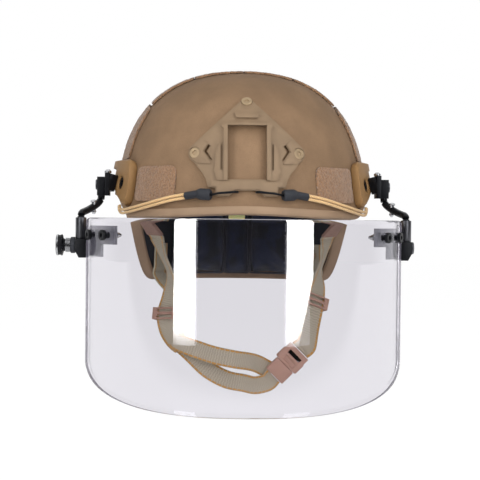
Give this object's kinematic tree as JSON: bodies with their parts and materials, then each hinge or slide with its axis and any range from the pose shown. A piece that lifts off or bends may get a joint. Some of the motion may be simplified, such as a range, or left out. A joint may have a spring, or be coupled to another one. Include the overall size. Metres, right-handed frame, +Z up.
{
  "type": "ballistic helmet",
  "caption": "High-cut ballistic helmet with side rails, front shroud, padded lining, chin strap and a clear face visor hanging from two swing arms.",
  "frame": {"origin": "centre of the head seat, in the plane of the brim's lower edge", "axes": "+Z up through the crown, -Y the way the wearer faces, +X the wearer's left"},
  "size_m": [0.3175, 0.3277, 0.302],
  "materials": {
    "shell": "painted composite, satin, fine texture",
    "edge_trim": "matt",
    "shroud": "satin",
    "tan_screws": "painted, satin",
    "rail": "satin",
    "black_screws": "black oxide",
    "bungee": "woven sheath",
    "black_plastic": "moulded, matt",
    "black_metal": "black, satin",
    "loop": "brushed loop",
    "pad": "dark knit over foam",
    "tab": "pale woven tab",
    "bright_metal": "bright",
    "grey_metal": "satin",
    "knob": "turned, bright",
    "visor": "clear polycarbonate",
    "bracket": "grey, satin",
    "webbing": "woven, khaki grey with stitched edges",
    "keeper": "coarse weave, pinkish brown",
    "buckle": "moulded, satin"
  },
  "bodies": {
    "helmet": {"shell": "shell", "edge_trim": "edge_trim", "front_shroud": "shroud", "shroud_screws": "tan_screws", "rail_left": "rail", "rail_right": "rail", "rail_screws": "black_screws", "bungee_left": "bungee", "bungee_right": "bungee", "bungee_end_left": "black_plastic", "bungee_end_right": "black_plastic", "hook_left": "black_metal", "hook_right": "black_metal", "front_patch_left": "loop", "front_patch_right": "loop", "side_patch_left": "loop", "side_patch_right": "loop", "crown_patches": "loop", "rear_patch": "loop", "front_pad": "pad", "crown_pad": "pad", "rear_pad_left": "pad", "rear_pad_right": "pad", "nape_pad": "pad", "side_pad_left": "pad", "side_pad_right": "pad", "pad_tab": "tab", "rail_clamp_left": "black_metal", "rail_clamp_right": "black_metal", "clamp_screws": "bright_metal", "front_strap_left": "webbing", "front_strap_right": "webbing", "rear_strap_left": "webbing", "rear_strap_right": "webbing", "keeper_left": "keeper", "keeper_right": "keeper", "adjuster_left": "keeper", "adjuster_right": "keeper", "chin_cup": "webbing", "buckle_socket": "buckle", "buckle_plug": "buckle", "strap_screws": "tan_screws"},
    "visor_arms": {"arm_left": "black_metal", "arm_right": "black_metal", "hinge_barrel_left": "grey_metal", "hinge_barrel_right": "grey_metal", "pivot_block_left": "black_plastic", "pivot_block_right": "black_plastic", "pivot_pins": "grey_metal", "cross_pins": "bright_metal", "tilt_pin_left": "grey_metal", "knob_collar": "black_plastic"},
    "visor": {"visor": "visor", "visor_bracket_left": "bracket", "visor_bracket_right": "bracket", "visor_bolts": "black_screws", "visor_nuts": "bright_metal"},
    "index_knob": {"index_knob": "knob"},
    "tongue_upper": {"release_tongue_upper": "buckle"},
    "tongue_lower": {"release_tongue_lower": "buckle"}
  },
  "joints": [
    {"name": "visor_arms_swing", "type": "hinge", "parent": "helmet", "child": "visor_arms", "pos_m": [0, -0.047, 0.025], "axis": [-1, 0, 0], "range_deg": [0, 100]},
    {"name": "visor_tilt", "type": "hinge", "parent": "visor_arms", "child": "visor", "pos_m": [0, -0.07899, -0.0295], "axis": [-1, 0, 0], "range_deg": [-8, 12]},
    {"name": "index_knob_pull", "type": "slide", "parent": "visor_arms", "child": "index_knob", "axis": [-1, 0, 0], "range_m": [0, 0.004], "stiffness_N_per_m": 600, "springref_m": -0.001},
    {"name": "release_upper_squeeze", "type": "slide", "parent": "helmet", "child": "tongue_upper", "axis": [0.7071, 0, -0.7071], "range_m": [0, 0.002], "stiffness_N_per_m": 300, "springref_m": -0.001},
    {"name": "release_lower_squeeze", "type": "slide", "parent": "helmet", "child": "tongue_lower", "axis": [-0.7071, 0, 0.7071], "range_m": [0, 0.002], "stiffness_N_per_m": 300, "springref_m": -0.001}
  ]
}
